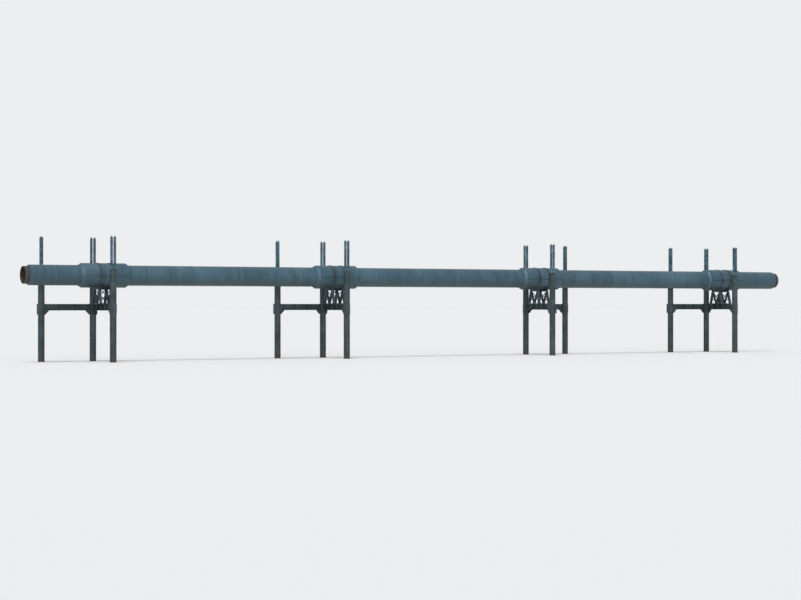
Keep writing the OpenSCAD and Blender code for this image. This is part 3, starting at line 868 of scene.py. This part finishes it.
def slide_screws():
    """Round-headed screws in the ends of the slide plates that the shoe leaves free."""
    head = rivet(7 * MM)
    parts = []
    for i in SUPPORTS:
        for x in (-55 * MM, 55 * MM):
            for y in (-520 * MM, -440 * MM, 440 * MM, 520 * MM):
                parts.append((head, stand((support_x(i) + x, y, SHOE_LOW))))
    return piece("slide_screws", parts, ZINC_FASTENER, 40)


def beam_ends():
    """Every bolted end of a beam: the foot of its post, and the directions along the beam and across it."""
    for _, foot, arms, _ in posts():
        for arm in arms:
            yield foot, *direction(arm)


def beam_bolts():
    """Bolts through the beams' end plates, and through their bottom flanges into the shelves."""
    head = hex_head(BEAM_BOLT)
    flange_top = BEAM_BOTTOM + FLANGE_T
    clear_web = BEAM_TOP - FLANGE_T - flange_top
    parts = []
    for foot, out, across in beam_ends():
        for side in (-1, 1):
            column = foot + out * PLATE_X + across * side * BEAM_W * 0.3
            for share in (0.2, 0.5, 0.8):
                parts.append((head, stand(column + UP * (flange_top + clear_web * share), out)))
            for reach in (33 * MM, 73 * MM):
                at = column + out * reach + UP * (flange_top + SHELF_LOW) / 2
                parts += bolted(at, UP, BEAM_BOLT, (flange_top - SHELF_LOW) / 2)
    return piece("beam_bolts", parts, ZINC_FASTENER)


def beam_welds():
    """Weld beads down the web at each end plate and stiffener."""
    low, high = BEAM_BOTTOM + FLANGE_T + ROOT_R, BEAM_TOP - FLANGE_T - ROOT_R
    upright = bead(high - low, WEB_WELD_SIZE)
    parts = []
    for foot, out, across in beam_ends():
        for side in (-1, 1):
            parts.append((upright, stand(foot + out * PLATE_X + across * side * WEB_T / 2 + UP * low)))
    places = []
    for i in SUPPORTS:
        places += [(Vector((support_x(i), y, low)), 90) for y in (-LEG_FOOT, 0, LEG_FOOT)]
        tie, tie_l = middle(f"tie_beam_{i}"), lengths(f"tie_beam_{i}").x
        places += [(Vector((tie.x + end * tie_l / 6, tie.y, low)), 0) for end in (-1, 1)]
    for at, angle in places:
        along, across = direction(angle)
        for side in (-1, 1):
            for end in (-1, 1):
                corner = at + across * side * WEB_T / 2 + along * end * STIFFENER_T / 2
                parts.append((upright, stand(corner)))
    return piece("beam_welds", parts, WELD, 60)


def collar_bolts():
    """Four bolts down each pair of ears of the split collars."""
    half_gap = COLLAR_SPLIT / 2
    parts = []
    for _, foot, _, ears in posts():
        for turn in (0, 180):
            out, across = direction(ears + turn)
            for z in spaced(COLLAR_LOW, COLLAR_HIGH, 94 * MM):
                at = foot + out * (COLLAR_R + EAR_REACH * 0.55) + UP * z
                parts += bolted(at, across, COLLAR_BOLT, EAR_T + half_gap, COLLAR_SHANK_R, half_gap)
    return piece("collar_bolts", parts, ZINC_FASTENER)


def bracket_welds():
    """Weld beads where the cheeks and gussets meet the collars and the undersides of the shelves."""
    low = COLLAR_LOW + COLLAR_RISE
    side_y = BEAM_W / 2 - GUSSET_T / 2
    root_x = math.sqrt(COLLAR_R ** 2 - side_y ** 2)
    upright = bead(BEAM_TOP - 2 * GUSSET_T - low, WELD_SIZE)
    under_shelf = bead(FACE_X + SHELF_REACH - 2 * GUSSET_T - root_x, WELD_SIZE)
    parts = []
    for foot, out, across in beam_ends():
        for side in (-1, 1):
            root = foot + out * root_x + across * side * side_y
            parts.append((upright, stand(root + UP * low)))
            parts.append((under_shelf, stand(root + UP * SHELF_LOW, out)))
    return piece("bracket_welds", parts, WELD, 60)


PIPE_SEAM_ANGLE = 35
LINE_PIPE_L = 6100 * MM


def pipe_welds():
    """The mill's long seam, outside on the bare ends and inside down the bore, and the bore's girth welds."""
    cap_sizes = (8 * MM, 1.8 * MM, 4 * MM, 1.2 * MM)
    outside = weld_cap(PIPE_R, *cap_sizes)
    inside = weld_cap(PIPE_BORE_R, *cap_sizes, way=-1)
    girth = [(PIPE_BORE_R - 1.5 * MM, -2 * MM), (PIPE_BORE_R + MM, -6 * MM),
             (PIPE_BORE_R + MM, 6 * MM), (PIPE_BORE_R - 1.5 * MM, 2 * MM)]
    bevel_x, bare_x = RUN_HALF - PIPE_BEVEL, RUN_HALF - BARE_END
    turn = Matrix.Rotation(math.radians(180 + PIPE_SEAM_ANGLE), 4, "Z")
    parts = []
    for seam in (drawn(outside, -bevel_x, -bare_x), drawn(outside, bare_x, bevel_x),
                 drawn(inside, -bevel_x, bevel_x)):
        parts.append((seam, round_pipe(0) @ turn))
    parts += [(turned(girth, TURNS), round_pipe(x)) for x in spaced(-RUN_HALF, RUN_HALF, LINE_PIPE_L)[1:]]
    return piece("pipe_welds", parts, WELD, 60)


GIRTH_Z = 860 * MM


def pile_welds():
    """Weld beads under each cap plate, round each pile's girth joint and up its long seam."""
    cap_low = POST_TOP - CAP_T
    crown, shoulder_height = 2 * MM, 1.4 * MM
    under_cap = turned(flipped(fillet(POST_R, WELD_SIZE)), POST_TURNS)
    girth = turned(weld_cap(POST_R, 7 * MM, crown, 4 * MM, shoulder_height), POST_TURNS)
    section = weld_cap(POST_R, 6 * MM, crown, 3 * MM, shoulder_height)
    # The two lengths of a pile are joined with their seams apart, 55 and 110 degrees past the collar's ears.
    seams = [(drawn(section, 0, GIRTH_Z), 55), (drawn(section, GIRTH_Z, COLLAR_LOW - MM), 110),
             (drawn(section, COLLAR_HIGH + MM, cap_low), 110)]
    parts = []
    for _, foot, _, ears in posts():
        parts += [(under_cap, stand(foot + UP * cap_low)), (girth, stand(foot + UP * GIRTH_Z))]
        for seam, past_ears in seams:
            turn = Matrix.Rotation(math.radians(ears + past_ears), 4, "Z")
            parts.append((seam, Matrix.Translation(foot) @ turn))
    return piece("pile_welds", parts, WELD, 60)


def radiator_feet():
    """Foot of every heat pipe, on the cap plate."""
    for name, foot, _, _ in posts():
        line = Vector((0, 1, 0)) if name == "stay" else Vector((1, 0, 0))
        for side in (-1, 1):
            yield foot + line * side * RADIATOR_PITCH / 2 + UP * POST_TOP


def gland_nuts():
    """Four nuts on each heat pipe's gland, and the hexagonal cap of the charging valve at its tip."""
    nut = hex_nut(GLAND_BOLT)
    cap = round_bar(6, [(15 * MM, 0), (17 * MM, 2 * MM), (17 * MM, 14 * MM), (14 * MM, 17 * MM)])
    ring_r = (GLAND_R + STEM_R) / 2
    parts = []
    for foot in radiator_feet():
        for k in range(4):
            out, _ = direction(45 + 90 * k)
            parts.append((nut, stand(foot + out * ring_r + UP * GLAND_H)))
        parts.append((cap, stand((foot.x, foot.y, RADIATOR_TOP - 20 * MM))))
    return piece("gland_nuts", parts, ZINC_FASTENER)


def stem_collars():
    """Turned collars on each heat pipe, below and above the fins."""
    height, cut = 12 * MM, 2 * MM
    outer_r = STEM_R + 9 * MM
    collar = turned([(STEM_R - MM, 0), (outer_r - cut, 0), (outer_r, cut), (outer_r, height - cut),
                     (outer_r - cut, height), (STEM_R - MM, height)], 24)
    parts = []
    for foot in radiator_feet():
        parts.append((collar, stand(foot + UP * (STEM_H - height))))
        parts.append((collar, stand((foot.x, foot.y, RADIATOR_TOP - TIP_H))))
    return piece("stem_collars", parts, FINISHES["fin_aluminium"])


# Floor, light and camera

# The floor ends so far off that its edge falls close under the horizon.
FLOOR_HALF = 600.0


def lay_floor():
    """Plain pale floor that keeps the shadow."""
    corners = [(x * FLOOR_HALF, y * FLOOR_HALF, 0) for x, y in ((-1, -1), (1, -1), (1, 1), (-1, 1))]
    mesh = bpy.data.meshes.new("floor")
    mesh.from_pydata(corners, [], [(0, 1, 2, 3)])
    material = bpy.data.materials.new("pale_matt_floor")
    material.use_nodes = True
    shader = material.node_tree.nodes["Principled BSDF"]
    # Pale enough to meet the backdrop without a line.
    shader.inputs["Base Color"].default_value = linear("#f1f0ef")
    shader.inputs["Roughness"].default_value = 0.95
    mesh.materials.append(material)
    floor = bpy.data.objects.new("floor", mesh)
    floor.location.z = cad_low.z - MM
    bpy.context.scene.collection.objects.link(floor)


def soft_lamp(name, toward, angle, strength):
    """Distant light, soft over the given angle in degrees, so that the whole run is lit alike."""
    data = bpy.data.lights.new(name, "SUN")
    data.angle = math.radians(angle)
    data.energy = strength
    lamp = bpy.data.objects.new(name, data)
    lamp.rotation_euler = Vector(toward).to_track_quat("Z", "Y").to_euler()
    bpy.context.scene.collection.objects.link(lamp)


def light_studio():
    """Pale backdrop, even light from all round and two soft lamps, one high and one behind the camera."""
    world = bpy.data.worlds.new("pale_studio")
    bpy.context.scene.world = world
    world.use_nodes = True
    tree = world.node_tree
    tree.nodes.clear()
    ray = add(tree, "ShaderNodeLightPath", {}).outputs
    seen = ray["Is Camera Ray"]
    for kind in ("Is Glossy Ray", "Is Transmission Ray"):
        seen = add(tree, "ShaderNodeMath", {0: seen, 1: ray[kind]}, operation="MAXIMUM").outputs[0]
    even_light = add(tree, "ShaderNodeBackground", {"Color": "#e6ebf0", "Strength": 0.55})
    backdrop = add(tree, "ShaderNodeBackground", {"Color": "#eceeef", "Strength": 1.0})
    mixed = add(tree, "ShaderNodeMixShader", {0: seen, 1: even_light.outputs[0], 2: backdrop.outputs[0]})
    add(tree, "ShaderNodeOutputWorld", {"Surface": mixed.outputs[0]})
    soft_lamp("high_lamp", (-0.25, -0.35, 1.0), 24, 1.5)
    soft_lamp("front_lamp", (-0.6, -1.0, 0.4), 40, 0.65)


# The camera stands as in the photograph: 29 degrees round from square on to the second support, 74 m away
# and level with the crossbeams. Its lens is longer, so that the run fills the picture.
CAMERA_FROM_SUPPORT = (-35.7, -64.9)
CAMERA_AIM = Vector((-1.75, 0.0, 2.15))
VIEW_WIDTH = 22.6


def place_camera():
    """Puts the camera at the photograph's place beside the run, and aims it at the middle of the run."""
    data = bpy.data.cameras.new("camera")
    data.angle = math.radians(VIEW_WIDTH)
    data.clip_end = 2000
    camera = bpy.data.objects.new("camera", data)
    camera.location = (support_x(2) + CAMERA_FROM_SUPPORT[0], CAMERA_FROM_SUPPORT[1], BEAM_TOP)
    camera.rotation_euler = (CAMERA_AIM - camera.location).to_track_quat("-Z", "Y").to_euler()
    bpy.context.scene.collection.objects.link(camera)
    bpy.context.scene.camera = camera


place_camera()
dress_solids()
for build in (jacket_laps, jacket_rivets, band_buckles, closure_sealant, sleeve_sealant, sleeve_hoops,
              shoulder_gores, gore_rivets, seam_bolts, strap_liners, strap_bolts, saddle_welds, slide_screws,
              pipe_welds, beam_bolts, beam_welds, collar_bolts, bracket_welds, pile_welds, gland_nuts,
              stem_collars):
    build()
lay_floor()
light_studio()
bpy.context.scene.view_settings.view_transform = "Standard"
